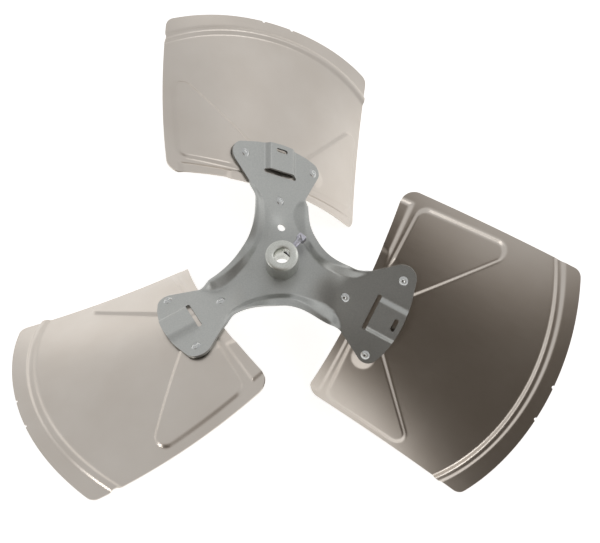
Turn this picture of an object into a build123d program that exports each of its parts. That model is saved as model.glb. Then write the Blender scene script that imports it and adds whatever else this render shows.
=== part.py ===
from build123d import *
from math import atan2, cos, hypot, pi, radians, sin, sqrt, tan
import os

# Axial fan impeller: a turned hub staked into a pressed steel spider, with three pressed
# sheet blades riveted behind the spider's pitched tabs. Millimetres.
# The origin is on the bore axis at the face of the spider that the hub stands on.
# +Z runs along the bore axis towards the hub's free end, and +Y along the first arm.

# Whole fan
blade_count = 3
fan_diameter = 457.2
pitch_angle = 35.0

# Hub
bore_diameter = 12.7
bore_chamfer = 0.4
hub_diameter = 25.4
hub_height = 21.5
hub_chamfer = 0.7
spigot_diameter = 19.0
spigot_clearance = 0.05
stake_diameter = 22.4
stake_height = 1.6
stake_chamfer = 0.7

# Set screw with a square head
screw_diameter = 6.35
screw_turn = 40.7
screw_height = 12.0
screw_head_width = 6.35
screw_head_height = 4.8
screw_neck_diameter = 4.7
screw_neck_length = 8.7
screw_tip_gap = 0.6
screw_chamfer = 0.6
screw_head_chamfer = 0.5
thread_clearance = 0.05

# Spider sheet
spider_thickness = 2.0
plate_reach = 18.0
neck_reach = 50.0
waist_radius = 73.0
waist_centre = 107.4
neck_steps = 4

# Raised rim along each concave edge of the spider, which runs out on the tabs
rim_width = 4.5
rim_slope_width = 6.0
rim_height = 2.9
lead_rim_height = 3.4
trail_rim_height = 6.5
rim_end_reach = 60.0
rim_end_height = 0.3
balance_hole_radius = 3.3
balance_hole_reach = 32.6

# Tab at the end of each arm, in its own plane
tab_drop = 2.0
tab_edge_radius = 106.5
tab_edge_half_width = 33.0
tab_throat_reach = 61.0
throat_fillet_share = 2.0
lead_lobe_radius = 11.1
lead_lobe_offset = 35.0
lead_lobe_reach = 89.5
trail_lobe_radius = 8.9
trail_lobe_offset = 31.3
trail_lobe_reach = 91.8

# Bridge pressed up out of each tab
bridge_half_width = 15.0
bridge_top_half_width = 11.3
bridge_height = 3.0
slot_reach = 78.5
slot_width = 3.6
oblong_length = 11.0
oblong_width = 3.6
oblong_reach = 100.7
oblong_count = 2

# Rivets
rivet_offset = 34.0
outer_rivet_reach = 91.0
inner_rivet_reach = 56.3
rivet_shank_radius = 2.35
rivet_head_radius = 3.7
rivet_head_height = 1.5
rivet_tail_radius = 3.5
rivet_tail_height = 1.6
rivet_dimple_radius = 1.5
rivet_dimple_depth = 0.9
dimple_taper = 30.0
rivet_tail_chamfer = 0.5
rivet_clearance = 0.05

# Blade blank, in the press plane: x across the blade, y out along the arm
blade_thickness = 1.2
root_lead_half_width = 98.3
root_trail_half_width = 94.5
tip_half_width = 99.5
tip_centre_offset = 2.9
root_edge_reach = 59.3
root_edge_rise = 7.2
root_corner_radius = 10.0
tip_corner_radius = 8.0
tongue_radius = 5.8
tongue_root_half_width = 14.0
tip_nick_offset = 14.0
tip_nick_radius = 1.4

# Form of the blade: reach, height of the middle, fall at 100 mm to each side, and twist
form_stations = ((40.0, -2.65, 14.0, -6.8), (135.0, -5.35, 16.6, 2.35), (230.0, -4.9, 3.6, 6.4))
form_fall_width = 100.0
form_half_width = 112.0
form_depth = 70.0

# Raised pads, strip and bead, all pressed to one depth
press_depth = 2.0
pad_root_half_width = 89.5
pad_tip_half_width = 92.0
pad_root_reach = 76.4
vee_reach = 79.0
vee_slope = 0.864
pad_gap_half_width = 5.0
pad_root_corner = 9.0
pad_tip_corner = 7.0
pad_inner_corner = 1.6
strip_half_width = 88.5
strip_reach = 69.5
strip_rise = 3.1
strip_corner = 5.0
bead_radius = 197.6
bead_centre_reach = 16.1
bead_width = 5.4

# Where each blade is drawn up flat against its tab
seat_half_width = 46.0
seat_reach = 111.0
seat_rise = 5.0
seat_ramp = 20.0
boss_radius = 6.5
boss_foot_radius = 15.0
boss_depth = 4.0

# Worked out from the values above
tip_radius = fan_diameter / 2
tab_top = -tab_drop
seat_height = tab_top - spider_thickness
back_height = seat_height - blade_thickness
arm_turns = [-360 / blade_count * number for number in range(blade_count)]
gap_turns = [turn - 180 / blade_count for turn in arm_turns]
rivet_places = {
    "inner": (0, inner_rivet_reach),
    "leading": (-rivet_offset, outer_rivet_reach),
    "trailing": (rivet_offset, outer_rivet_reach),
}

os.makedirs("parts", exist_ok=True)


def arm_location(turn):
    """The press plane of one arm: turned about the bore axis, then pitched about the arm."""
    return Location((0, 0, 0), (0, 0, turn)) * Location((0, 0, 0), (0, pitch_angle, 0))


def waist_half_width(reach):
    """Half width of an arm, seen along the bore axis, between its two concave edges."""
    centre_x = waist_centre * sin(pi / blade_count)
    centre_y = waist_centre * cos(pi / blade_count)
    return centre_x - sqrt(waist_radius**2 - (reach - centre_y) ** 2)


def tip_edge(across):
    """How far out the blade's tip edge is at a place across the blade."""
    return sqrt(tip_radius**2 - (across - tip_centre_offset) ** 2)


# Hub, turned from bar: body, spigot through the spider, and the rim staked over behind it
spigot_radius = spigot_diameter / 2
stake_foot = -spider_thickness - stake_height
screw_direction = Vector(sin(radians(screw_turn)), cos(radians(screw_turn)), 0)
screw_plane = Plane(origin=(0, 0, screw_height), x_dir=(0, 0, 1), z_dir=screw_direction)

with BuildPart() as hub:
    with BuildSketch(Plane.XZ) as hub_profile:
        with BuildLine():
            Polyline(
                (bore_diameter / 2, stake_foot),
                (stake_diameter / 2, stake_foot),
                (stake_diameter / 2, -spider_thickness),
                (spigot_radius, -spider_thickness),
                (spigot_radius, 0),
                (hub_diameter / 2, 0),
                (hub_diameter / 2, hub_height),
                (bore_diameter / 2, hub_height),
                close=True,
            )
        make_face()
    revolve(axis=Axis.Z)
    ends = hub.edges().filter_by(GeomType.CIRCLE).group_by(Axis.Z)
    chamfer(ends[-1].sort_by(SortBy.RADIUS)[-1], length=hub_chamfer)
    chamfer(ends[-1].sort_by(SortBy.RADIUS)[0], length=bore_chamfer)
    chamfer(ends[0].sort_by(SortBy.RADIUS)[-1], length=stake_chamfer)
    chamfer(ends[0].sort_by(SortBy.RADIUS)[0], length=bore_chamfer)
    with BuildSketch(screw_plane):
        Circle(screw_diameter / 2 + thread_clearance)
    extrude(amount=hub_diameter, mode=Mode.SUBTRACT)
hub.part.label = "hub"
export_step(hub.part, "parts/hub.step")

# Set screw: square head, turned neck, and a shank that stops short of the bore
screw_seat = hub_diameter / 2
screw_tip = bore_diameter / 2 + screw_tip_gap
screw_axis = Axis(origin=(0, 0, 0), direction=screw_direction)

with BuildPart() as set_screw:
    with BuildSketch(screw_plane.offset(screw_tip)):
        Circle(screw_diameter / 2)
    extrude(amount=screw_seat - screw_tip)
    chamfer(set_screw.edges().sort_by(screw_axis)[0], screw_chamfer)
    with BuildSketch(screw_plane.offset(screw_seat)):
        Circle(screw_neck_diameter / 2)
    extrude(amount=screw_neck_length)
    with BuildSketch(screw_plane.offset(screw_seat + screw_neck_length)):
        Rectangle(screw_head_width, screw_head_width)
    extrude(amount=screw_head_height)
    chamfer(set_screw.faces().sort_by(screw_axis)[-1].edges(), screw_head_chamfer)
set_screw.part.label = "set_screw"
export_step(set_screw.part, "parts/set_screw.step")

# Spider: flat plate round the hub, bounded by the starts of the arms and the concave edges
with BuildSketch() as plate_triangle:
    RegularPolygon(plate_reach, blade_count, major_radius=False, rotation=90 - 180 / blade_count)

rim_start = waist_centre - waist_radius
rim_bend_shift = spider_thickness * tan(atan2(rim_height, rim_slope_width) / 2)
rim_foot = rim_start - rim_width - rim_slope_width
with BuildPart() as plate_rims:
    for turn in gap_turns:
        outward = Vector(cos(radians(90 + turn)), sin(radians(90 + turn)), 0)
        rim_plane = Plane(origin=(0, 0, 0), x_dir=outward, z_dir=outward.cross(Vector(0, 0, 1)))
        rim_axis = Axis(origin=rim_plane.from_local_coords((waist_centre, 0, 0)), direction=(0, 0, 1))
        with BuildSketch(rim_plane):
            with BuildLine():
                Polyline(
                    (rim_start, rim_height),
                    (rim_start - rim_width, rim_height),
                    (rim_foot, 0),
                    (rim_foot + rim_bend_shift, -spider_thickness),
                    (rim_start - rim_width + rim_bend_shift, rim_height - spider_thickness),
                    (rim_start, rim_height - spider_thickness),
                    close=True,
                )
            make_face()
        revolve(axis=rim_axis)
    add(plate_triangle.sketch)
    extrude(amount=2 * trail_rim_height, both=True, mode=Mode.INTERSECT)

with BuildPart() as plate:
    with BuildSketch():
        add(plate_triangle.sketch)
        with PolarLocations(waist_centre, blade_count, start_angle=90 + gap_turns[0]):
            Circle(waist_centre - rim_foot - rim_bend_shift, mode=Mode.SUBTRACT)
        Circle(spigot_diameter / 2 + spigot_clearance, mode=Mode.SUBTRACT)
    extrude(amount=-spider_thickness)


def neck_section(reach, ease, half_width, lead_height, trail_height):
    """Section of an arm: a flat middle with a raised rim on each side, turned by its share of the pitch."""
    twist = radians(pitch_angle * ease)
    drop = tab_top * ease
    slant = sqrt(1 - ((waist_centre * cos(pi / blade_count) - reach) / waist_radius) ** 2)
    upper, lower = [], []
    for side, height in ((-1, lead_height), (1, trail_height)):
        shift = spider_thickness * tan(atan2(height, rim_slope_width) / 2)
        bend = half_width - rim_width / slant
        foot = bend - rim_slope_width / slant
        upper_side = [(side * half_width, height), (side * bend, height), (side * foot, 0)]
        lower_side = [
            (side * half_width, height - spider_thickness),
            (side * (bend + shift), height - spider_thickness),
            (side * (foot + shift), -spider_thickness),
        ]
        upper += upper_side[::-side]
        lower += lower_side[::-side]
    origin = (drop * sin(twist), reach, drop * cos(twist))
    section_plane = Plane(origin=origin, x_dir=(cos(twist), 0, -sin(twist)), z_dir=(0, -1, 0))
    with BuildSketch(section_plane) as section:
        with BuildLine():
            Polyline(*upper, *lower[::-1], close=True)
        make_face()
    return section.sketch


# Neck: the sheet turns from the plate's plane to the tab's pitch, and its rims run out on the tab
throat_half_width = waist_half_width(neck_reach) / cos(radians(pitch_angle))
with BuildPart() as neck:
    for step in range(neck_steps + 1):
        share = step / neck_steps
        ease = share**2 * (3 - 2 * share)
        reach = plate_reach + share * (neck_reach - plate_reach)
        half_width = waist_half_width(reach) / cos(radians(pitch_angle * ease))
        lead_height = rim_height + (lead_rim_height - rim_height) * ease
        trail_height = rim_height + (trail_rim_height - rim_height) * ease
        add(neck_section(reach, ease, half_width, lead_height, trail_height))
    loft()

with BuildPart() as rim_ends:
    add(neck_section(neck_reach, 1, throat_half_width, lead_rim_height, trail_rim_height))
    add(neck_section(rim_end_reach, 1, throat_half_width, rim_end_height, rim_end_height))
    loft(ruled=True)

# Tab: flat seat for the blade, with a bridge pressed up across it and open at the outer edge
with BuildSketch() as tab_outline:
    with Locations((-lead_lobe_offset, lead_lobe_reach)):
        Circle(lead_lobe_radius)
    with Locations((trail_lobe_offset, trail_lobe_reach)):
        Circle(trail_lobe_radius)
    with BuildLine():
        Line((-throat_half_width, tab_throat_reach), (throat_half_width, tab_throat_reach))
    make_hull()
    with BuildLine():
        edge_end = sqrt(tab_edge_radius**2 - tab_edge_half_width**2)
        lead_end = (-tab_edge_half_width, edge_end)
        trail_end = (tab_edge_half_width, edge_end)
        ThreePointArc(lead_end, (0, tab_edge_radius), trail_end)
        Polyline(trail_end, (tab_edge_half_width, slot_reach), (-tab_edge_half_width, slot_reach), lead_end)
    make_face()
    with BuildLine():
        Polyline(
            (-throat_half_width, neck_reach),
            (throat_half_width, neck_reach),
            (throat_half_width, tab_throat_reach),
            (-throat_half_width, tab_throat_reach),
            close=True,
        )
    make_face()
    throat_corners = tab_outline.vertices().filter_by_position(Axis.Y, neck_reach + 1, tab_throat_reach + 1)
    fillet(throat_corners, throat_fillet_share * (tab_throat_reach - neck_reach))

with BuildPart() as tab:
    with BuildSketch(Plane.XY.offset(seat_height)):
        add(tab_outline.sketch)
    extrude(amount=spider_thickness)
    with BuildSketch(Plane.XY.offset(seat_height)):
        with Locations((0, slot_reach + slot_width / 2)):
            SlotOverall(2 * bridge_half_width + slot_width / 2, slot_width)
            Rectangle(2 * bridge_half_width, tab_edge_radius, align=(Align.CENTER, Align.MIN))
    extrude(amount=spider_thickness, mode=Mode.SUBTRACT)

bend_run = bridge_half_width - bridge_top_half_width
bend_shift = spider_thickness * (hypot(bridge_height, bend_run) - bend_run) / bridge_height
with BuildPart() as bridge:
    with BuildSketch(Plane.XZ.offset(-slot_reach - slot_width)):
        with BuildLine():
            Polyline(
                (-bridge_half_width, tab_top),
                (-bridge_top_half_width, tab_top + bridge_height),
                (bridge_top_half_width, tab_top + bridge_height),
                (bridge_half_width, tab_top),
                (bridge_half_width, seat_height),
                (bridge_half_width - bend_shift, seat_height),
                (bridge_top_half_width - bend_shift, seat_height + bridge_height),
                (bend_shift - bridge_top_half_width, seat_height + bridge_height),
                (bend_shift - bridge_half_width, seat_height),
                (-bridge_half_width, seat_height),
                close=True,
            )
        make_face()
    extrude(amount=-tab_edge_radius)
    with BuildSketch(Plane.XY.offset(seat_height)):
        Circle(tab_edge_radius)
    extrude(amount=2 * bridge_height + spider_thickness, mode=Mode.INTERSECT)

with BuildPart() as spider:
    add(plate.part)
    add(plate_rims.part)
    for turn in arm_turns:
        with Locations(Location((0, 0, 0), (0, 0, turn))):
            add(neck.part)
            add(rim_ends.part)
        with Locations(arm_location(turn)):
            add(tab.part)
            add(bridge.part)
            with Locations(*[(x, y, tab_top) for x, y in rivet_places.values()]):
                Hole(rivet_shank_radius + rivet_clearance, depth=spider_thickness)
    for turn in arm_turns[:oblong_count]:
        with BuildSketch(Plane(arm_location(turn)).offset(seat_height)):
            with Locations((0, oblong_reach)):
                SlotOverall(oblong_length, oblong_width)
        extrude(amount=2 * bridge_height + spider_thickness, mode=Mode.SUBTRACT)
    with Locations((0, balance_hole_reach, spider_thickness)):
        Hole(balance_hole_radius, depth=4 * spider_thickness)
spider.part.label = "spider"
export_step(spider.part, "parts/spider.step")

# Rivet: round head with a dimple in front, shank, and a tail set against the back of the blade
rivet_grip = spider_thickness + blade_thickness

with BuildPart() as rivet:
    with BuildSketch(Plane.XZ):
        with BuildLine():
            dome_radius = (rivet_head_radius**2 + rivet_head_height**2) / (2 * rivet_head_height)
            dome = RadiusArc((rivet_head_radius, 0), (0, rivet_head_height), -dome_radius)
            Polyline(
                dome @ 1,
                (0, -rivet_grip - rivet_tail_height),
                (rivet_tail_radius, -rivet_grip - rivet_tail_height),
                (rivet_tail_radius, -rivet_grip),
                (rivet_shank_radius, -rivet_grip),
                (rivet_shank_radius, 0),
                dome @ 0,
            )
        make_face()
    revolve(axis=Axis.Z)
    with BuildSketch(Plane.XY.offset(rivet_head_height)):
        Circle(rivet_dimple_radius)
    extrude(amount=-rivet_dimple_depth, taper=dimple_taper, mode=Mode.SUBTRACT)
    chamfer(rivet.edges().filter_by(GeomType.CIRCLE).group_by(Axis.Z)[0], rivet_tail_chamfer)

for number, turn in enumerate(arm_turns, start=1):
    for place, (across, reach) in rivet_places.items():
        with BuildPart() as placed_rivet:
            with Locations(arm_location(turn) * Location((across, reach, tab_top))):
                add(rivet.part)
        placed_rivet.part.label = f"rivet_{number}_{place}"
        export_step(placed_rivet.part, f"parts/rivet_{number}_{place}.step")

# Blade blank: the flat outline, with a tongue under the inner rivet and two nicks in the tip
with BuildSketch() as blank_outline:
    with BuildLine():
        tip_lead = (-tip_half_width, tip_edge(-tip_half_width))
        tip_trail = (tip_half_width, tip_edge(tip_half_width))
        tip = ThreePointArc(tip_lead, (tip_centre_offset, tip_radius), tip_trail)
        root_lead = (-root_lead_half_width, root_edge_reach)
        root_trail = (root_trail_half_width, root_edge_reach)
        root = ThreePointArc(root_trail, (0, root_edge_reach + root_edge_rise), root_lead)
        Line(tip @ 1, root @ 0)
        Line(root @ 1, tip @ 0)
    make_face()
    fillet(blank_outline.vertices().group_by(Axis.Y)[0], root_corner_radius)
    fillet(blank_outline.vertices().sort_by(Axis.Y)[-2:], tip_corner_radius)
    with BuildLine():
        tongue_foot = root_edge_reach + root_edge_rise
        CenterArc((0, inner_rivet_reach), tongue_radius, 180, 180)
        Line((-tongue_root_half_width, tongue_foot), (tongue_root_half_width, tongue_foot))
    make_hull()
    for side in (-1, 1):
        with Locations((side * tip_nick_offset, tip_edge(side * tip_nick_offset))):
            Circle(tip_nick_radius, mode=Mode.SUBTRACT)


def raised_outline(inset):
    """Outline of the two pads, the strip and the bead, drawn in by the sheet's thickness or by nothing."""
    with BuildSketch() as outline:
        for side in (-1, 1):
            with BuildSketch(mode=Mode.PRIVATE) as pad:
                with BuildLine():
                    Polyline(
                        (side * pad_gap_half_width, pad_root_reach),
                        (side * pad_root_half_width, pad_root_reach),
                        (side * pad_tip_half_width, vee_reach + vee_slope * pad_tip_half_width),
                        (side * pad_gap_half_width, vee_reach + vee_slope * pad_gap_half_width),
                        close=True,
                    )
                make_face()
                corners = pad.vertices().sort_by(Axis.X, reverse=side < 0)
                fillet(corners[:2], pad_inner_corner)
                fillet(corners[2], pad_root_corner)
                fillet(corners[3], pad_tip_corner)
                offset(amount=-inset)
            add(pad.sketch)
        with BuildSketch(mode=Mode.PRIVATE) as strip:
            half_width = strip_half_width - inset
            step = strip_reach - inset
            strip_foot = form_stations[0][0]
            with BuildLine():
                edge = ThreePointArc((half_width, step), (0, step + strip_rise), (-half_width, step))
                Polyline(edge @ 1, (-half_width, strip_foot), (half_width, strip_foot), edge @ 0)
            make_face()
            fillet(strip.vertices().group_by(Axis.Y)[-1], strip_corner - inset)
        add(strip.sketch)
        with BuildSketch(mode=Mode.PRIVATE) as bead:
            with Locations((0, bead_centre_reach)):
                Circle(bead_radius + bead_width / 2 - inset)
                Circle(bead_radius - bead_width / 2 + inset, mode=Mode.SUBTRACT)
            Rectangle(2 * form_half_width, tip_radius, align=(Align.CENTER, Align.MIN), mode=Mode.INTERSECT)
        add(bead.sketch)
    return outline.sketch


def pressed_face(height, inset):
    """Solid whose upper side is the face of the pressed sheet, moved by a height along the press axis."""
    with BuildPart() as form:
        for reach, middle, fall, twist in form_stations:
            with BuildSketch(Plane.XZ.offset(-reach)):
                with BuildLine():
                    edge_fall = fall * (form_half_width / form_fall_width) ** 2
                    edge_lift = form_half_width * tan(radians(twist))
                    lead_edge = (-form_half_width, middle - edge_fall - edge_lift)
                    trail_edge = (form_half_width, middle - edge_fall + edge_lift)
                    crown = ThreePointArc(lead_edge, (0, middle), trail_edge)
                    trail_foot = (form_half_width, -form_depth)
                    lead_foot = (-form_half_width, -form_depth)
                    Polyline(crown @ 1, trail_foot, lead_foot, crown @ 0)
                make_face()
        loft()
    with BuildPart() as tool:
        with BuildSketch(Plane.XY.offset(-form_depth)):
            add(raised_outline(inset))
        extrude(amount=2 * form_depth)
        with Locations((0, 0, press_depth)):
            add(form.part, mode=Mode.INTERSECT)
        add(form.part)
        for across, reach in (rivet_places["leading"], rivet_places["trailing"]):
            with Locations((across, reach, back_height)):
                Cone(boss_foot_radius, boss_radius, boss_depth)
        with BuildSketch(Plane.XY.offset(seat_height)):
            Rectangle(2 * seat_half_width, 2 * seat_reach)
        with BuildSketch(Plane.XY.offset(seat_height + seat_rise)):
            Rectangle(2 * (seat_half_width + seat_ramp), 2 * (seat_reach + seat_ramp))
        loft(mode=Mode.SUBTRACT)
    return tool.part.moved(Location((0, 0, height)))


# Blade: the blank between the two faces of the pressed sheet
with BuildPart() as blade:
    with BuildSketch(Plane.XY.offset(-form_depth / 2)):
        add(blank_outline.sketch)
    extrude(amount=form_depth)
    add(pressed_face(0, 0), mode=Mode.INTERSECT)
    add(pressed_face(-blade_thickness, blade_thickness), mode=Mode.SUBTRACT)
    with Locations(*[(across, reach, seat_height) for across, reach in rivet_places.values()]):
        Hole(rivet_shank_radius + rivet_clearance, depth=blade_thickness)

for number, turn in enumerate(arm_turns, start=1):
    with BuildPart() as placed_blade:
        with Locations(arm_location(turn)):
            add(blade.part)
    placed_blade.part.label = f"blade_{number}"
    export_step(placed_blade.part, f"parts/blade_{number}.step")
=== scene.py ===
from math import acos, asin, atan2, cos, hypot, pi, radians, sin, sqrt, tan

import bmesh
import bpy
import numpy as np
from mathutils import Matrix, Vector, geometry


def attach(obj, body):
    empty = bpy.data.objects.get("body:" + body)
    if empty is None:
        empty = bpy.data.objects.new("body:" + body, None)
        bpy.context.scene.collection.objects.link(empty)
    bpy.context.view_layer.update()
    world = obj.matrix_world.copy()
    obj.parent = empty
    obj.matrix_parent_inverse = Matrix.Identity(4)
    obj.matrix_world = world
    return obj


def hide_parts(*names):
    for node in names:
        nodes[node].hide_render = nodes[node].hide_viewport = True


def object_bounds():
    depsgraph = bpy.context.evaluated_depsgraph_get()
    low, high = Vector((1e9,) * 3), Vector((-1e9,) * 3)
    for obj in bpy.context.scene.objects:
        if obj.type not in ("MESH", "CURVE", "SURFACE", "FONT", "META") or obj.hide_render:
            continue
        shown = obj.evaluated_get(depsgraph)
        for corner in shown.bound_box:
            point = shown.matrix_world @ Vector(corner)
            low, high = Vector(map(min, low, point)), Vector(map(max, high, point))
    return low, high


# Axial fan impeller, dressed. Lengths are millimetres until a mesh is written in metres.
# An arm's press frame has x across the arm, y out along it and z towards the hub side.

# The fan's own sizes, the same as in its CAD source
blade_count = 3
pitch_angle = 35.0
tip_radius = 228.6
blade_thickness = 1.2
root_lead_half_width = 98.3
root_trail_half_width = 94.5
tip_half_width = 99.5
tip_centre_offset = 2.9
root_edge_reach = 59.3
root_edge_rise = 7.2
root_corner_radius = 10.0
tip_corner_radius = 8.0
tongue_radius = 5.8
tongue_root_half_width = 14.0
tongue_arc = (194.4, 345.6)
tip_nick_offset = 14.0
tip_nick_radius = 1.4
form_stations = ((40.0, -2.65, 14.0, -6.8), (135.0, -5.35, 16.6, 2.35), (230.0, -4.9, 3.6, 6.4))
press_depth = 2.0
pad_root_half_width = 89.5
pad_tip_half_width = 92.0
pad_gap_half_width = 5.0
pad_root_reach = 76.4
vee_reach = 79.0
vee_slope = 0.864
pad_corner_radius = 8.0
strip_half_width = 88.5
strip_reach = 69.5
strip_rise = 3.1
bead_radius = 197.6
bead_centre_reach = 16.1
bead_width = 5.4
seat_height = -4.0
seat_half_width = 46.0
seat_reach = 111.0
boss_radius = 6.5
seat_wall_slope = 0.25
boss_wall_slope = 0.47
inner_rivet_reach = 56.3
outer_rivet_reach = 91.0
rivet_offset = 34.0
rivet_head_radius = 3.7
rivet_head_height = 1.5
rivet_shank_radius = 2.35
rivet_tail_radius = 3.5
rivet_tail_height = 1.6
rivet_dimple_radius = 1.5
rivet_dimple_depth = 0.9
rivet_sink = 0.02
spider_thickness = 2.0
spigot_radius = 9.5
twist_start_reach = 17.2
twist_end_reach = 53.0
neck_shift = -0.55
waist_radius = 73.0
waist_centre = 107.4
plate_rim_height = 2.9
lead_rim_height = 3.2
trail_rim_height = 6.4
rim_change_reach = 18.0
rim_change_run = 32.0
rim_reaches = (30.0, 45.0, 52.0, 58.0, 66.0)
lead_rim_widths = (10.8, 10.4, 9.6, 7.0, 1.5)
trail_rim_widths = (10.8, 12.2, 11.2, 7.5, 2.0)
plate_slope_share = 0.52
lead_slope_share = 0.9
trail_slope_share = 0.76
rim_bend_share = 0.2
rim_fade_reach = 53.0
rim_fade_run = 13.0
rim_rows_end = 58.0
rim_row_shares = (0.1, 0.2, 0.28, 0.35, 0.41, 0.47, 0.53, 0.6, 0.68, 0.76, 0.84, 0.91, 0.97, 1.03)
balance_hole_radius = 3.3
balance_hole_reach = 32.6
tab_drop = 2.0
tab_edge_radius = 106.5
tab_edge_ends = (29.0, -31.0)
throat_reach = 61.0
throat_fillet = 22.0
waist_end_rise = 1.5
lobe_end_angle = 72.0
lead_lobe = (35.0, 89.5, 11.1)
trail_lobe = (31.3, 91.8, 8.9)
bridge_foot = 15.5
bridge_top = 10.8
bridge_height = 3.0
slot_reach = 78.5
slot_width = 3.6
slot_half_length = 15.9
oblong_reach = 100.7
oblong_half_length = 5.5
oblong_count = 2

# How finely each sheet's mesh follows its form, and how softly the press rounded each step
grid_step = 1.3
spider_step = 1.2
press_round = 2.8
millimetre = 0.001

# The blades' finish: how wide its dull clouds are, and the streaks of its roll grain
cloud_width = 50.0
grain_width = 1.0
grain_length = 25.0

# The studio: the camera, levels of the room's light, its dark side in degrees of direction and spread, lamps
camera_lens = 52.03
camera_place = (0.00115, -0.2401, 0.6458)
camera_right = (0.99981, -0.01036, 0.01653)
camera_up = (0.00410, 0.93995, 0.34130)
floor_half = 3.0
floor_glow = 0.62
horizon_levels = (0.74, 0.94)
overhead_level = 0.71
overhead_height = 0.5
dark_azimuth = -116.0
dark_elevation = 37.0
dark_core = 20.0
dark_edge = 54.0
dark_depth = 0.88
dark_rise = (-0.12, 0.3)
dark_colour = "#f2dfca"
lamp_distance = 1.3

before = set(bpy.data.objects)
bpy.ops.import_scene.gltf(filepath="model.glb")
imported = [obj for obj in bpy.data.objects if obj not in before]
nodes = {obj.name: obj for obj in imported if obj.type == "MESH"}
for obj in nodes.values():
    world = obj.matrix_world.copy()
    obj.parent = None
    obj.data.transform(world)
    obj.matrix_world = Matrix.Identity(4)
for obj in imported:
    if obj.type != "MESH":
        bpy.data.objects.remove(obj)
cad_box = [list(corner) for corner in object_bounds()]
arm_turns = [-2 * pi / blade_count * number for number in range(blade_count)]


def arm_matrix(turn):
    """From an arm's press frame to the fan's frame."""
    return Matrix.Rotation(turn, 4, "Z") @ Matrix.Rotation(radians(pitch_angle), 4, "Y")


def linear(hex_colour):
    """An sRGB hex colour as the linear values that a shader takes."""
    parts = [int(hex_colour[i : i + 2], 16) / 255 for i in (1, 3, 5)]
    return [c / 12.92 if c <= 0.04045 else ((c + 0.055) / 1.055) ** 2.4 for c in parts] + [1.0]


def add_node(tree, kind, settings=None, values=None, links=None):
    """Adds a node, sets its own settings and its sockets' values, and links outputs into it."""
    node = tree.nodes.new(kind)
    for name, value in (settings or {}).items():
        setattr(node, name, value)
    for name, value in (values or {}).items():
        node.inputs[name].default_value = value
    for name, output in (links or {}).items():
        tree.links.new(output, node.inputs[name])
    return node


def colour_stops(ramp, stops):
    """Gives a ColorRamp its two stops as (position, sRGB hex colour)."""
    for element, (position, colour) in zip(ramp.color_ramp.elements, stops):
        element.position = position
        element.color = linear(colour)


def new_material(name):
    """A material with an empty tree but for its output and shader, and the piece's own coordinates."""
    material = bpy.data.materials.new(name)
    material.use_nodes = True
    tree = material.node_tree
    tree.nodes.clear()
    shader = add_node(tree, "ShaderNodeBsdfPrincipled")
    add_node(tree, "ShaderNodeOutputMaterial", links={"Surface": shader.outputs["BSDF"]})
    place = add_node(tree, "ShaderNodeTexCoord")
    return material, tree, shader, place.outputs["Object"]


def mill_aluminium():
    """Mill-finish sheet: soft warm grey that dulls in broad clouds, with faint grain from the rolls."""
    material, tree, shader = new_material("mill_finish_aluminium")[:3]
    shader.inputs["Metallic"].default_value = 1.0
    sheet = add_node(tree, "ShaderNodeAttribute", {"attribute_name": "sheet_place"}).outputs["Vector"]
    clouds = add_node(tree, "ShaderNodeTexNoise", links={"Vector": sheet},
                      values={"Scale": 1 / (cloud_width * millimetre), "Detail": 3.0})
    tint = add_node(tree, "ShaderNodeValToRGB", links={"Fac": clouds.outputs["Fac"]})
    colour_stops(tint, [(0.3, "#c9c1b8"), (0.7, "#d0c9c1")])
    tree.links.new(tint.outputs["Color"], shader.inputs["Base Color"])
    # Roll grain is finer than a pixel here, so it is drawn as wide as it needs to show
    fineness = (1 / (grain_width * millimetre), 1 / (grain_length * millimetre), 1)
    along_rolls = add_node(tree, "ShaderNodeMapping", values={"Scale": fineness}, links={"Vector": sheet})
    grain = add_node(tree, "ShaderNodeTexNoise", values={"Scale": 1.0, "Detail": 2.0},
                     links={"Vector": along_rolls.outputs["Vector"]})
    gloss = add_node(tree, "ShaderNodeMapRange", values={"To Min": 0.27, "To Max": 0.35},
                     links={"Value": grain.outputs["Fac"]})
    tree.links.new(gloss.outputs["Result"], shader.inputs["Roughness"])
    bump = add_node(tree, "ShaderNodeBump", values={"Strength": 0.04, "Distance": 0.0001},
                    links={"Height": grain.outputs["Fac"]})
    tree.links.new(bump.outputs["Normal"], shader.inputs["Normal"])
    return material


def mottled_metal(name, metallic, mottle_width, detail, colours, roughness):
    """A metal with a fine mottle, its width in millimetres, that tints it and may dull it."""
    material, tree, shader, place = new_material(name)
    shader.inputs["Metallic"].default_value = metallic
    shader.inputs["Roughness"].default_value = roughness[0]
    mottle = add_node(tree, "ShaderNodeTexNoise", links={"Vector": place},
                      values={"Scale": 1 / (mottle_width * millimetre), "Detail": detail})
    tint = add_node(tree, "ShaderNodeValToRGB", links={"Fac": mottle.outputs["Fac"]})
    colour_stops(tint, colours)
    tree.links.new(tint.outputs["Color"], shader.inputs["Base Color"])
    if len(roughness) > 1:
        gloss = add_node(tree, "ShaderNodeMapRange", links={"Value": mottle.outputs["Fac"]},
                         values={"To Min": roughness[0], "To Max": roughness[1]})
        tree.links.new(gloss.outputs["Result"], shader.inputs["Roughness"])
    return material


def form_height(across, reach):
    """Height of the pressed form without its raised places: a curve across, blended along the blade."""
    height = np.zeros_like(across)
    for station, (place, middle, fall, twist) in enumerate(form_stations):
        share = np.ones_like(across)
        for other, values in enumerate(form_stations):
            if other != station:
                share = share * (reach - values[0]) / (place - values[0])
        height += share * (middle + tan(radians(twist)) * across - fall * (across / 100) ** 2)
    return height


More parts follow.
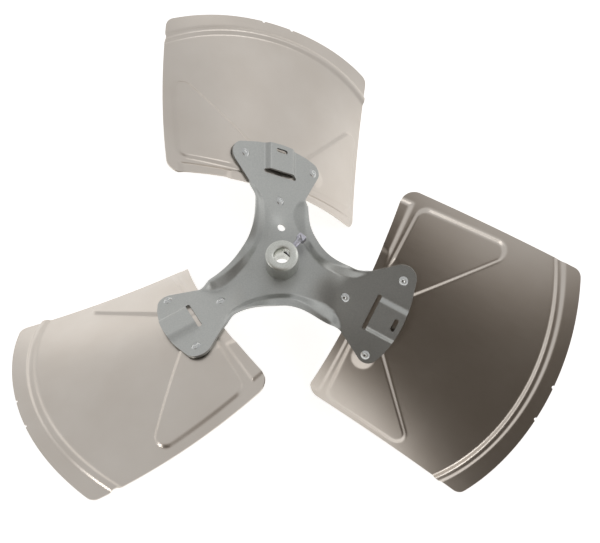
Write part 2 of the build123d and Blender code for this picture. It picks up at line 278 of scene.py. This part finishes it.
def polygon_distance(across, reach, corners):
    """Signed distance to a polygon's edge, negative inside."""
    nearest = np.full(across.shape, 1e9)
    inside = np.zeros(across.shape, bool)
    for (ax, ay), (bx, by) in zip(corners, corners[1:] + corners[:1]):
        ex, ey = bx - ax, by - ay
        share = np.clip(((across - ax) * ex + (reach - ay) * ey) / (ex * ex + ey * ey), 0, 1)
        nearest = np.minimum(nearest, np.hypot(across - ax - share * ex, reach - ay - share * ey))
        if ay != by:
            crosses = (ay > reach) != (by > reach)
            inside ^= crosses & (across < ex * (reach - ay) / ey + ax)
    return np.where(inside, -nearest, nearest)


def step_up(distance):
    """1 well inside an edge and 0 well outside it, with the press's rounded shoulder between."""
    share = np.clip(0.5 - distance / press_round, 0, 1)
    return share * share * (3 - 2 * share)


def pressed_height(across, reach):
    """Height of the sheet's hub-side face, with its pads, strip and bead raised."""
    height = form_height(across, reach)
    pad = [
        (pad_gap_half_width, pad_root_reach),
        (pad_root_half_width, pad_root_reach),
        (pad_tip_half_width, vee_reach + vee_slope * pad_tip_half_width),
        (pad_gap_half_width, vee_reach + vee_slope * pad_gap_half_width),
    ]
    drawn_in = inset_polygon(pad, pad_corner_radius)
    pads = polygon_distance(np.abs(across), reach, drawn_in) - pad_corner_radius
    step = strip_reach + strip_rise * (1 - (across / strip_half_width) ** 2)
    strip = np.maximum(reach - step, np.abs(across) - strip_half_width)
    bead = np.abs(np.hypot(across, reach - bead_centre_reach) - bead_radius) - bead_width / 2
    raised = np.maximum(np.maximum(step_up(pads), step_up(strip)), step_up(bead))
    height = height + press_depth * raised
    beyond = np.maximum(np.abs(across) - seat_half_width, reach - seat_reach)
    height = np.minimum(height, seat_height + np.clip(beyond, 0, None) * seat_wall_slope)
    away = np.hypot(np.abs(across) - rivet_offset, reach - outer_rivet_reach)
    return np.maximum(height, seat_height - np.clip(away - boss_radius, 0, None) * boss_wall_slope)


def inset_polygon(corners, amount):
    """The corners of a convex polygon, counter-clockwise, moved in from every side by an amount."""
    moved = []
    for before, here, after in zip(corners[-1:] + corners[:-1], corners, corners[1:] + corners[:1]):
        first = Vector(here) - Vector(before)
        second = Vector(after) - Vector(here)
        first.normalize()
        second.normalize()
        turn = first.cross(second)
        along = (first - second) * (amount / turn)
        moved.append(tuple(Vector(here) - along))
    return moved


def rounded_corner(corner, back, ahead, radius, step):
    """Points of an arc that rounds a corner between the directions back along the outline and ahead."""
    corner, back, ahead = Vector(corner), Vector(back).normalized(), Vector(ahead).normalized()
    half = acos(max(-1, min(1, back.dot(ahead)))) / 2
    centre = corner + (back + ahead).normalized() * (radius / sin(half))
    start = corner + back * (radius / tan(half)) - centre
    sweep = pi - 2 * half
    sign = 1 if back.cross(ahead) < 0 else -1
    count = max(3, round(radius * sweep / step))
    first = atan2(start.y, start.x)
    angles = [first + sign * sweep * k / count for k in range(count + 1)]
    return [(centre.x + radius * cos(a), centre.y + radius * sin(a)) for a in angles]


def run_points(first, last, step):
    """Evenly spaced points between two points, without the two."""
    count = max(1, round(hypot(last[0] - first[0], last[1] - first[1]) / step))
    return [tuple(Vector(first).lerp(Vector(last), k / count)) for k in range(1, count)]


def bowed_points(first, last, step, bow):
    """Evenly spaced places across the sheet between two, on an edge whose reach a function gives."""
    count = max(1, round(abs(last - first) / step))
    places = [first + (last - first) * k / count for k in range(1, count)]
    return [(place, bow(place)) for place in places]


def tip_edge(across):
    """How far out the blade's tip edge is at a place across the blade."""
    return sqrt(tip_radius**2 - (across - tip_centre_offset) ** 2)


def root_edge(across):
    """How far out the blade's root edge is at a place across the blade."""
    half = (root_lead_half_width + root_trail_half_width) / 2
    middle = (root_trail_half_width - root_lead_half_width) / 2
    sag = (half**2 - middle**2 - root_edge_rise**2) / (2 * root_edge_rise)
    return root_edge_reach - sag + sqrt(half**2 + sag**2 - (across - middle) ** 2)


def blank_outline():
    """The blade's flat outline, counter-clockwise, with its rounded corners, nicks and tongue."""
    corners = []
    for side, root_half_width in ((1, root_trail_half_width), (-1, root_lead_half_width)):
        root = Vector((side * root_half_width, root_edge_reach))
        tip = Vector((side * tip_half_width, tip_edge(side * tip_half_width)))
        root_in = root.x - side * root_corner_radius
        tip_in = tip.x - side * tip_corner_radius
        along_root = Vector((root_in, root_edge(root_in))) - root
        along_tip = Vector((tip_in, tip_edge(tip_in))) - tip
        corners.append(rounded_corner(root, along_root, tip - root, root_corner_radius, 1.0))
        corners.append(rounded_corner(tip, root - tip, along_tip, tip_corner_radius, 1.0))
    trail_root, trail_tip, lead_root, lead_tip = corners
    tip = bowed_points(trail_tip[-1][0], lead_tip[-1][0], grid_step, tip_edge)
    tip = [p for p in tip if abs(abs(p[0]) - tip_nick_offset) > tip_nick_radius + 0.4]
    for nick in (tip_nick_offset, -tip_nick_offset):
        ring = [pi * k / 6 for k in range(7)]
        dent = [(nick + tip_nick_radius * cos(a), tip_edge(nick) - tip_nick_radius * sin(a)) for a in ring]
        place = sum(1 for p in tip if p[0] > nick)
        tip[place:place] = dent
    root = bowed_points(lead_root[0][0], trail_root[0][0], grid_step, root_edge)
    before = [p for p in root if p[0] < -tongue_root_half_width]
    after = [p for p in root if p[0] > tongue_root_half_width]
    ring = [radians(angle) for angle in np.linspace(*tongue_arc, 13)]
    tongue = [(tongue_radius * cos(a), inner_rivet_reach + tongue_radius * sin(a)) for a in ring]
    into_tongue = run_points(before[-1], tongue[0], grid_step)
    out_of_tongue = run_points(tongue[-1], after[0], grid_step)
    tongue = into_tongue + tongue + out_of_tongue
    trail_side = run_points(trail_root[-1], trail_tip[0], grid_step)
    lead_side = run_points(lead_tip[0], lead_root[-1], grid_step)
    leading = lead_tip[::-1] + lead_side + lead_root[::-1]
    return trail_root + trail_side + trail_tip + tip + leading + before + tongue + after


def staggered_grid(outline, step):
    """Evenly spaced points inside an outline, in rows that are staggered."""
    low, high = np.min(outline, 0), np.max(outline, 0)
    rows = np.arange(low[1] + step / 2, high[1], step * 0.866)
    across, reach = np.meshgrid(np.arange(low[0] + step / 2, high[0], step), rows)
    across = across + (np.arange(len(rows)) % 2 * step / 2)[:, None]
    across, reach = across.ravel(), reach.ravel()
    keep = polygon_distance(across, reach, outline) < -0.45 * step
    return np.column_stack([across[keep], reach[keep]])


def filled_sheet(loops, inner_points):
    """Triangles that fill the first loop, with the other loops and inner points as corners."""
    points, edges = [], []
    for loop in loops:
        first = len(points)
        points += loop
        edges += [(first + k, first + (k + 1) % len(loop)) for k in range(len(loop))]
    points = [Vector(p) for p in points] + [Vector(p) for p in inner_points]
    found = geometry.delaunay_2d_cdt(points, edges, [], 1, 1e-6)
    return np.array([tuple(p) for p in found[0]]), np.array([list(f) for f in found[2]])


def without_hole(flat, faces, hole):
    """The triangles whose middle lies outside a hole."""
    middles = flat[faces].mean(axis=1)
    return faces[polygon_distance(middles[:, 0], middles[:, 1], hole) > 0]


def mesh_object(name, points, faces, matrix=None):
    """An object at the origin from points in millimetres."""
    mesh = bpy.data.meshes.new(name)
    mesh.from_pydata((np.array(points) * millimetre).tolist(), [], np.array(faces).tolist())
    if matrix:
        mesh.transform(matrix)
    mesh.update()
    piece = bpy.data.objects.new(name, mesh)
    bpy.context.scene.collection.objects.link(piece)
    return piece


def applied(piece):
    """The piece with its modifiers made part of its mesh."""
    graph = bpy.context.evaluated_depsgraph_get()
    mesh = bpy.data.meshes.new_from_object(piece.evaluated_get(graph))
    piece.modifiers.clear()
    piece.data = mesh
    return piece


def smooth_by_angle(piece, degrees):
    """Smooth shading but for edges sharper than an angle."""
    piece.data.shade_smooth()
    piece.data.set_sharp_from_angle(angle=radians(degrees))


def finish_piece(piece, material, slot, *replaced):
    """Gives a piece its material, and puts it on the fan in place of its CAD nodes; its slot argument is not
    used.
    """
    piece.data.materials.clear()
    piece.data.materials.append(material)
    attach(piece, "root")
    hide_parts(*replaced)


def thicken(piece, thickness):
    """Gives a sheet its thickness, away from the hub side."""
    wall = piece.modifiers.new("thickness", "SOLIDIFY")
    wall.thickness = thickness * millimetre
    wall.offset = -1
    wall.use_even_offset = True
    applied(piece)


def note_sheet_places(piece, flat):
    """Keeps each point's place on the flat sheet, in metres, for patterns that follow the sheet."""
    places = np.column_stack([flat, np.zeros(len(flat))]) * millimetre
    note = piece.data.attributes.new("sheet_place", "FLOAT_VECTOR", "POINT")
    note.data.foreach_set("vector", places.ravel())


def make_blades(material):
    """Three blades from one pressed sheet."""
    outline = blank_outline()
    flat, faces = filled_sheet([outline], staggered_grid(outline, grid_step))
    points = np.column_stack([flat, pressed_height(flat[:, 0], flat[:, 1])])
    for number, turn in enumerate(arm_turns, start=1):
        piece = mesh_object(f"blade_{number}_sheet", points, faces, arm_matrix(turn))
        note_sheet_places(piece, flat)
        thicken(piece, blade_thickness)
        smooth_by_angle(piece, 50)
        finish_piece(piece, material, "blade", f"blade_{number}")


def eased(share):
    """0 to 1 with a soft start and end."""
    share = np.clip(share, 0, 1)
    return share * share * (3 - 2 * share)


def ramped(share):
    """0 to 1 in a straight slope with a rounded bend at each end."""
    share = np.clip(share, 0, 1)
    steepness = 1 / (1 - rim_bend_share)
    low = steepness * share**2 / (2 * rim_bend_share)
    high = 1 - steepness * (1 - share) ** 2 / (2 * rim_bend_share)
    middle = steepness * (share - rim_bend_share / 2)
    return np.where(share < rim_bend_share, low, np.where(share > 1 - rim_bend_share, high, middle))


def turned_share(reach):
    """How far an arm has turned from the plate, 0, to the tab's pitch, 1."""
    return eased((reach - twist_start_reach) / (twist_end_reach - twist_start_reach))


def rim_width(across, reach):
    """How far in from the edge of an arm its raised rim begins."""
    trail = np.interp(reach, rim_reaches, trail_rim_widths)
    return np.where(across > 0, trail, np.interp(reach, rim_reaches, lead_rim_widths))


def arm_edge(lobe, shift):
    """One edge of an arm as (across, reach), from the line between two arms to the top of its lobe."""
    between = pi / blade_count
    centre = (waist_centre * sin(between), waist_centre * cos(between))
    first, last = pi + pi / 2 - between, pi + asin(waist_end_rise / waist_radius)
    count = round(waist_radius * (first - last) / spider_step)
    edge = []
    for k in range(count + 1):
        angle = first + (last - first) * k / count
        reach = centre[1] + waist_radius * sin(angle)
        across = centre[0] + waist_radius * cos(angle)
        share = float(turned_share(reach))
        edge.append(((across + shift * share) / cos(radians(pitch_angle) * share), reach))
    throat = Vector((edge[-1][0], throat_reach))
    to_lobe = Vector(lobe[:2]) - throat
    flank = atan2(to_lobe.y, to_lobe.x) - asin(lobe[2] / to_lobe.length)
    along = Vector((cos(flank), sin(flank)))
    fillet = rounded_corner(throat, Vector((0, -1)), along, throat_fillet, spider_step)
    first, last = flank - pi / 2, radians(lobe_end_angle)
    count = round(lobe[2] * (last - first) / spider_step)
    angles = [first + (last - first) * k / count for k in range(count + 1)]
    round_lobe = [(lobe[0] + lobe[2] * cos(a), lobe[1] + lobe[2] * sin(a)) for a in angles]
    return edge + fillet + run_points(fillet[-1], round_lobe[0], spider_step) + round_lobe


def long_hole(reach, half_length, half_width):
    """Outline of a long hole with round ends, across the arm."""
    ring = [pi * k / 8 for k in range(9)]
    straight = half_length - half_width
    trail = [(straight + half_width * sin(a), reach - half_width * cos(a)) for a in ring]
    lead = [(-straight - half_width * sin(a), reach + half_width * cos(a)) for a in ring]
    outer = run_points(trail[-1], lead[0], spider_step)
    inner = run_points(lead[-1], trail[0], spider_step)
    return trail + outer + lead + inner


def spider_heights(across, reach, edge_distance):
    """The arm's turn, and the height of its upper face along its own normal, with raised rims and bridge."""
    share = turned_share(reach)
    changed = eased((reach - rim_change_reach) / rim_change_run)
    arm_height = np.where(across > 0, trail_rim_height, lead_rim_height)
    rise = plate_rim_height + (arm_height - plate_rim_height) * changed
    rise = rise * (1 - eased((reach - rim_fade_reach) / rim_fade_run))
    width = rim_width(across, reach)
    arm_share = np.where(across > 0, trail_slope_share, lead_slope_share)
    slope_share = plate_slope_share + (arm_share - plate_slope_share) * changed
    rim = rise * ramped((width - edge_distance) / (slope_share * width))
    bridge = bridge_height * eased((bridge_foot - np.abs(across)) / (bridge_foot - bridge_top))
    bridge = np.where(reach > slot_reach + slot_width / 2, bridge, 0)
    return radians(pitch_angle) * share, bridge + rim - tab_drop * share


def open_line_distance(across, reach, line):
    """Distance to a line of points."""
    nearest = np.full(across.shape, 1e9)
    for (ax, ay), (bx, by) in zip(line, line[1:]):
        ex, ey = bx - ax, by - ay
        share = np.clip(((across - ax) * ex + (reach - ay) * ey) / (ex * ex + ey * ey), 0, 1)
        nearest = np.minimum(nearest, np.hypot(across - ax - share * ex, reach - ay - share * ey))
    return nearest


def rim_distance(across, reach, edges):
    """Distance to the concave edges of an arm, or near the hub to those between the arms."""
    between = pi / blade_count
    centre_x, centre_y = waist_centre * sin(between), waist_centre * cos(between)
    plain = np.hypot(np.abs(across) - centre_x, reach - centre_y) - waist_radius
    drawn = np.minimum(*[open_line_distance(across, reach, edge) for edge in edges])
    return np.where(reach < twist_start_reach, np.minimum(plain, drawn), drawn)


def make_spider(material):
    """One sheet: a plate round the hub, three arms that turn to pitch, and a tab with a bridge on each."""
    between = pi / blade_count
    ray = Vector((sin(between), cos(between)))
    trail = arm_edge(trail_lobe, neck_shift)
    lead = [(-x, y) for x, y in arm_edge(lead_lobe, -neck_shift)]
    waist = waist_centre - waist_radius
    inner = [tuple(ray * (waist - share * lead_rim_widths[0])) for share in rim_row_shares]
    inner += run_points(inner[-1], tuple(ray * spigot_radius), spider_step) + [tuple(ray * spigot_radius)]
    mirrored = [(-x, y) for x, y in inner]
    bow = bowed_points(*tab_edge_ends, spider_step, lambda across: sqrt(tab_edge_radius**2 - across**2))
    ring = [pi / 2 + between - 2 * between * k / 16 for k in range(1, 16)]
    mouth = [(spigot_radius * cos(a), spigot_radius * sin(a)) for a in ring]
    outline = inner[::-1] + trail + bow + lead[::-1] + mirrored + mouth
    holes = [
        long_hole(slot_reach + slot_width / 2, slot_half_length, slot_width / 2),
        long_hole(oblong_reach, oblong_half_length, slot_width / 2),
        [(balance_hole_radius * cos(pi * k / 16), balance_hole_reach + balance_hole_radius * sin(pi * k / 16))
         for k in range(32)],
    ]
    grid = staggered_grid(outline, spider_step)
    for hole in holes:
        grid = grid[np.abs(polygon_distance(grid[:, 0], grid[:, 1], hole)) > 0.4 * spider_step]
    rows = []
    for edge, side in ((trail, 1), (lead, -1)):
        line = np.array(edge)
        along = np.gradient(line, axis=0)
        along /= np.hypot(along[:, 0], along[:, 1])[:, None]
        inward = np.column_stack([-along[:, 1], along[:, 0]]) * side
        for share in rim_row_shares:
            row = line + inward * (share * rim_width(line[:, 0], line[:, 1]))[:, None]
            clear = row[:, 1] * ray.x - np.abs(row[:, 0]) * ray.y > 0.35
            rows.append(row[clear & (line[:, 1] < rim_rows_end)])
    rows = np.concatenate(rows)
    distance = rim_distance(grid[:, 0], grid[:, 1], (trail, lead))
    rows_depth = rim_row_shares[-1] * rim_width(grid[:, 0], grid[:, 1]) + 0.7
    in_rows = (distance < rows_depth) & (grid[:, 1] < rim_rows_end + 0.6)
    flat, faces = filled_sheet([outline] + holes, np.concatenate([grid[~in_rows], rows]))
    turn, height = spider_heights(flat[:, 0], flat[:, 1], rim_distance(flat[:, 0], flat[:, 1], (trail, lead)))
    points = np.column_stack([
        flat[:, 0] * np.cos(turn) + height * np.sin(turn),
        flat[:, 1],
        height * np.cos(turn) - flat[:, 0] * np.sin(turn),
    ])
    faces = without_hole(flat, faces, holes[0])
    all_points, all_faces = [], []
    for number, arm_turn in enumerate(arm_turns):
        arm_faces = without_hole(flat, faces, holes[1]) if number < oblong_count else faces
        arm_faces = without_hole(flat, arm_faces, holes[2]) if number == 0 else arm_faces
        all_faces.append(arm_faces + number * len(points))
        all_points.append(points @ np.array(Matrix.Rotation(arm_turn, 3, "Z")).T)
    piece = mesh_object("spider_sheet", np.concatenate(all_points), np.concatenate(all_faces))
    merge_points(piece, 0.02)
    thicken(piece, spider_thickness)
    smooth_by_angle(piece, 42)
    finish_piece(piece, material, "spider", "spider")


def merge_points(piece, distance):
    """Joins points that lie on each other, and drops those that nothing uses."""
    work = bmesh.new()
    work.from_mesh(piece.data)
    bmesh.ops.remove_doubles(work, verts=work.verts, dist=distance * millimetre)
    loose = [v for v in work.verts if not v.link_faces]
    bmesh.ops.delete(work, geom=loose, context="VERTS")
    work.to_mesh(piece.data)
    work.free()


def smooth_copy(node, name, degrees):
    """A merged copy of a CAD node, smooth but for its real edges."""
    piece = bpy.data.objects.new(name, nodes[node].data.copy())
    bpy.context.scene.collection.objects.link(piece)
    merge_points(piece, 0.01)
    smooth_by_angle(piece, degrees)
    return piece


def rivet_profile():
    """Half outline of a set rivet, from the bottom of its dimple round to the middle of its tail."""
    dome_radius = (rivet_head_radius**2 + rivet_head_height**2) / (2 * rivet_head_height)
    dome_centre = rivet_head_height - dome_radius
    rim = rivet_dimple_radius + 0.25
    grip = spider_thickness + blade_thickness
    dimple_floor = rivet_head_height - rivet_dimple_depth
    tail_end = -grip - rivet_tail_height
    outline = [(0, dimple_floor), (0.5, dimple_floor + 0.05), (1.0, dimple_floor + 0.25)]
    outline.append((rivet_dimple_radius - 0.15, dimple_floor + 0.35))
    for k in range(9):
        radius = rim + (rivet_head_radius - rim) * k / 8
        outline.append((radius, dome_centre + sqrt(dome_radius**2 - radius**2)))
    outline += [(rivet_head_radius - 0.05, -rivet_sink), (rivet_shank_radius, -rivet_sink)]
    outline += [(rivet_shank_radius, rivet_sink - grip), (rivet_tail_radius - 0.3, rivet_sink - grip)]
    outline += [(rivet_tail_radius, -grip - 0.3), (rivet_tail_radius, tail_end + 0.5)]
    outline += [(rivet_tail_radius - 0.5, tail_end), (0, tail_end)]
    return outline


def rivet_shape():
    """One rivet, upright at the origin, turned from its half outline."""
    turns = 40
    outline = rivet_profile()
    points = [(0, 0, outline[0][1]), (0, 0, outline[-1][1])]
    for radius, height in outline[1:-1]:
        ring = [2 * pi * k / turns for k in range(turns)]
        points += [(radius * cos(a), radius * sin(a), height) for a in ring]
    faces = []
    last = len(outline) - 3
    for k in range(turns):
        after = (k + 1) % turns
        faces.append((0, 2 + k, 2 + after))
        faces.append((1, 2 + last * turns + after, 2 + last * turns + k))
        for level in range(last):
            here, below = 2 + level * turns, 2 + (level + 1) * turns
            faces.append((here + k, below + k, below + after))
            faces.append((here + k, below + after, here + after))
    piece = mesh_object("rivets", points, faces)
    smooth_by_angle(piece, 38)
    return piece


def rivet_places_tree(material):
    """A node tree that sets one rivet in its nine places: three on each arm, turned and pitched with it."""
    tree = bpy.data.node_groups.new("rivet_places", "GeometryNodeTree")
    sides = tree.interface
    sides.new_socket("Geometry", in_out="INPUT", socket_type="NodeSocketGeometry")
    for name in ("Inner reach", "Outer reach", "Offset across", "Face height", "Pitch"):
        sides.new_socket(name, in_out="INPUT", socket_type="NodeSocketFloat")
    sides.new_socket("Arms", in_out="INPUT", socket_type="NodeSocketInt")
    sides.new_socket("Geometry", in_out="OUTPUT", socket_type="NodeSocketGeometry")
    made = {output.name: output for output in add_node(tree, "NodeGroupInput").outputs}
    made["index"] = add_node(tree, "GeometryNodeInputIndex").outputs["Index"]
    # A place counts 0, 1, 2 on each arm: the inner rivet, then the outer ones on its two sides
    for name, operation, *terms in (
        ("arms done", "DIVIDE", "index", 3.0),
        ("arm", "FLOOR", "arms done"),
        ("place", "MODULO", "index", 3.0),
        ("outer", "GREATER_THAN", "place", 0.5),
        ("twice the place", "MULTIPLY", "place", 2.0),
        ("side", "SUBTRACT", "twice the place", 3.0),
        ("outer side", "MULTIPLY", "outer", "side"),
        ("across", "MULTIPLY", "outer side", "Offset across"),
        ("step out", "SUBTRACT", "Outer reach", "Inner reach"),
        ("further", "MULTIPLY", "outer", "step out"),
        ("reach", "ADD", "Inner reach", "further"),
        ("turn between", "DIVIDE", -2 * pi, "Arms"),
        ("turn", "MULTIPLY", "arm", "turn between"),
        ("count", "MULTIPLY", "Arms", 3.0),
    ):
        values = {k: term for k, term in enumerate(terms) if term not in made}
        links = {k: made[term] for k, term in enumerate(terms) if term in made}
        step = add_node(tree, "ShaderNodeMath", {"operation": operation}, values, links)
        made[name] = step.outputs["Value"]
    spot = add_node(tree, "ShaderNodeCombineXYZ",
                    links={"X": made["across"], "Y": made["reach"], "Z": made["Face height"]})
    lean = add_node(tree, "ShaderNodeCombineXYZ", links={"Y": made["Pitch"], "Z": made["turn"]})
    put = add_node(tree, "ShaderNodeVectorRotate", {"rotation_type": "EULER_XYZ"},
                   links={"Vector": spot.outputs["Vector"], "Rotation": lean.outputs["Vector"]})
    dots = add_node(tree, "GeometryNodePoints",
                    links={"Count": made["count"], "Position": put.outputs["Vector"]})
    facing = add_node(tree, "FunctionNodeEulerToRotation", links={"Euler": lean.outputs["Vector"]})
    roll = add_node(tree, "FunctionNodeRandomValue", {"data_type": "FLOAT"})
    roll.inputs[2].default_value, roll.inputs[3].default_value = 0.0, 2 * pi
    roll.inputs["Seed"].default_value = 5
    spin = add_node(tree, "ShaderNodeCombineXYZ", links={"Z": roll.outputs[1]})
    own = add_node(tree, "FunctionNodeEulerToRotation", links={"Euler": spin.outputs["Vector"]})
    both = add_node(tree, "FunctionNodeRotateRotation", {"rotation_space": "LOCAL"},
                    links={"Rotation": facing.outputs["Rotation"], "Rotate By": own.outputs["Rotation"]})
    copies = add_node(tree, "GeometryNodeInstanceOnPoints", links={
        "Points": dots.outputs["Points"],
        "Instance": made["Geometry"],
        "Rotation": both.outputs["Rotation"],
    })
    real = add_node(tree, "GeometryNodeRealizeInstances", links={"Geometry": copies.outputs["Instances"]})
    dressed = add_node(tree, "GeometryNodeSetMaterial", values={"Material": material},
                       links={"Geometry": real.outputs["Geometry"]})
    add_node(tree, "NodeGroupOutput", links={"Geometry": dressed.outputs["Geometry"]})
    return tree


def make_rivets(material):
    """Nine rivets in one mesh, each through a tab and its blade."""
    piece = rivet_shape()
    setter = piece.modifiers.new("places", "NODES")
    setter.node_group = rivet_places_tree(material)
    sizes = {
        "Inner reach": inner_rivet_reach * millimetre,
        "Outer reach": outer_rivet_reach * millimetre,
        "Offset across": rivet_offset * millimetre,
        "Face height": -tab_drop * millimetre,
        "Pitch": radians(pitch_angle),
        "Arms": blade_count,
    }
    for socket in setter.node_group.interface.items_tree:
        if socket.name in sizes:
            setter[socket.identifier] = sizes[socket.name]
    applied(piece)
    finish_piece(piece, material, "rivet", *[name for name in nodes if name.startswith("rivet")])


aluminium = mill_aluminium()
# The grits below are finer than a pixel here, so they are drawn about a millimetre wide
# Galvanised sheet: cool grey zinc, nearly smooth, with a dull skin that scatters some of the light
zinc_sheet = mottled_metal(
    "galvanised_steel", 0.8, 1.2, 3.0, [(0.3, "#acaeac"), (0.7, "#b7b8b5")], (0.38, 0.46))
# Set rivet: bright aluminium, burnished evenly on its dome by the setting tool
rivet_metal = mottled_metal(
    "bright_rivet_aluminium", 1.0, 1.2, 2.0, [(0.35, "#babcbc"), (0.65, "#cbccca")], (0.2,))
# Turned and zinc-plated hub: even light grey with a fine grit left by the plating
hub_steel = mottled_metal(
    "turned_zinc_steel", 1.0, 0.9, 2.0, [(0.3, "#c7c9c2"), (0.7, "#dadbd6")], (0.3, 0.42))
# Zinc-plated screw with a clear passivation, which gives the grey a faint lavender
screw_steel = mottled_metal(
    "zinc_screw_steel", 1.0, 1.5, 2.0, [(0.3, "#c3c2ce"), (0.7, "#d2d1da")], (0.3, 0.4))

make_blades(aluminium)
make_spider(zinc_sheet)
make_rivets(rivet_metal)
finish_piece(smooth_copy("hub", "hub_body", 30), hub_steel, "hub", "hub")
finish_piece(smooth_copy("set_screw", "set_screw_body", 30), screw_steel, "set_screw", "set_screw")

# Camera at the photograph's angle: it looks down on the hub side, 20 degrees off the bore axis
camera_data = bpy.data.cameras.new("camera")
camera_data.lens = camera_lens
camera_data.sensor_width = 36.0
camera_data.clip_start = 0.05
camera_data.clip_end = 20
camera = bpy.data.objects.new("camera", camera_data)
bpy.context.scene.collection.objects.link(camera)
right, up = Vector(camera_right), Vector(camera_up)
facing = Matrix((right, up, right.cross(up))).transposed().to_4x4()
camera.matrix_world = Matrix.Translation(camera_place) @ facing
bpy.context.scene.camera = camera


def softbox(name, azimuth, elevation, width, watts):
    """A plain square studio lamp that faces the fan from a direction, in degrees."""
    lamp = bpy.data.lights.new(name, "AREA")
    lamp.shape = "SQUARE"
    lamp.size = width
    lamp.energy = watts
    holder = bpy.data.objects.new(name, lamp)
    azimuth, elevation = radians(azimuth), radians(elevation)
    out = Vector((cos(elevation) * cos(azimuth), cos(elevation) * sin(azimuth), sin(elevation)))
    holder.location = out * lamp_distance
    holder.rotation_mode = "QUATERNION"
    holder.rotation_quaternion = out.to_track_quat("Z", "Y")
    bpy.context.scene.collection.objects.link(holder)


def plain_floor():
    """A pale floor under the blades that keeps the fan's shadow."""
    floor_z = cad_box[0][2]
    mesh = bpy.data.meshes.new("floor")
    corners = [(x * floor_half, y * floor_half, floor_z) for x, y in ((-1, -1), (1, -1), (1, 1), (-1, 1))]
    mesh.from_pydata(corners, [], [(0, 1, 2, 3)])
    floor = bpy.data.objects.new("floor", mesh)
    bpy.context.scene.collection.objects.link(floor)
    material, tree, shader = new_material("white_paper")[:3]
    shader.inputs["Base Color"].default_value = linear("#f2f2f1")
    shader.inputs["Roughness"].default_value = 0.9
    path = add_node(tree, "ShaderNodeLightPath")
    seen = add_node(tree, "ShaderNodeMath", {"operation": "MAXIMUM"},
                    links={0: path.outputs["Is Camera Ray"], 1: path.outputs["Is Glossy Ray"]})
    seen = add_node(tree, "ShaderNodeMath", {"operation": "MAXIMUM"},
                    links={0: seen.outputs["Value"], 1: path.outputs["Is Transmission Ray"]})
    glow = add_node(tree, "ShaderNodeMath", {"operation": "MULTIPLY"}, {1: floor_glow},
                    {0: seen.outputs["Value"]})
    tree.links.new(glow.outputs["Value"], shader.inputs["Emission Strength"])
    shader.inputs["Emission Color"].default_value = (1, 1, 1, 1)
    mesh.materials.append(material)


def studio_world():
    """A pale room, a little dimmer overhead, with one soft dark side low behind the camera."""
    world = bpy.data.worlds.new("studio")
    bpy.context.scene.world = world
    world.use_nodes = True
    tree = world.node_tree
    tree.nodes.clear()
    direction = add_node(tree, "ShaderNodeTexCoord").outputs["Generated"]
    axes = add_node(tree, "ShaderNodeSeparateXYZ", links={"Vector": direction}).outputs
    soft = {"interpolation_type": "SMOOTHSTEP"}
    azimuth, elevation = radians(dark_azimuth), radians(dark_elevation)
    toward = (cos(elevation) * cos(azimuth), cos(elevation) * sin(azimuth), sin(elevation))
    facing = add_node(tree, "ShaderNodeVectorMath", {"operation": "DOT_PRODUCT"}, {1: toward}, {0: direction})
    side = add_node(tree, "ShaderNodeMapRange", soft, {
        "From Min": cos(radians(dark_edge)), "From Max": cos(radians(dark_core)),
        "To Min": 0.0, "To Max": dark_depth}, {"Value": facing.outputs["Value"]})
    risen = add_node(tree, "ShaderNodeMapRange", soft, {
        "From Min": dark_rise[0], "From Max": dark_rise[1]}, {"Value": axes["Z"]})
    dark = add_node(tree, "ShaderNodeMath", {"operation": "MULTIPLY"}, {},
                    {0: side.outputs["Result"], 1: risen.outputs["Result"]})
    light = add_node(tree, "ShaderNodeMath", {"operation": "SUBTRACT"}, {0: 1.0}, {1: dark.outputs["Value"]})
    horizon = add_node(tree, "ShaderNodeMapRange", {}, {
        "From Min": -1.0, "From Max": 1.0, "To Min": horizon_levels[0], "To Max": horizon_levels[1]},
        {"Value": axes["X"]})
    level = add_node(tree, "ShaderNodeMapRange", soft, {
        "From Min": 0.0, "From Max": overhead_height, "To Max": overhead_level},
        {"Value": axes["Z"], "To Min": horizon.outputs["Result"]})
    strength = add_node(tree, "ShaderNodeMath", {"operation": "MULTIPLY"}, {},
                        {0: light.outputs["Value"], 1: level.outputs["Result"]})
    warm = add_node(tree, "ShaderNodeValToRGB", links={"Fac": dark.outputs["Value"]})
    colour_stops(warm, [(0.0, "#ffffff"), (0.9, dark_colour)])
    room = add_node(tree, "ShaderNodeBackground", links={
        "Color": warm.outputs["Color"], "Strength": strength.outputs["Value"]})
    add_node(tree, "ShaderNodeOutputWorld", links={"Surface": room.outputs["Background"]})


plain_floor()
studio_world()
softbox("right_box", 34, 41, 0.3, 0.7)
softbox("left_box", -157, 26, 0.3, 1.6)

bpy.context.scene.view_settings.view_transform = "Standard"
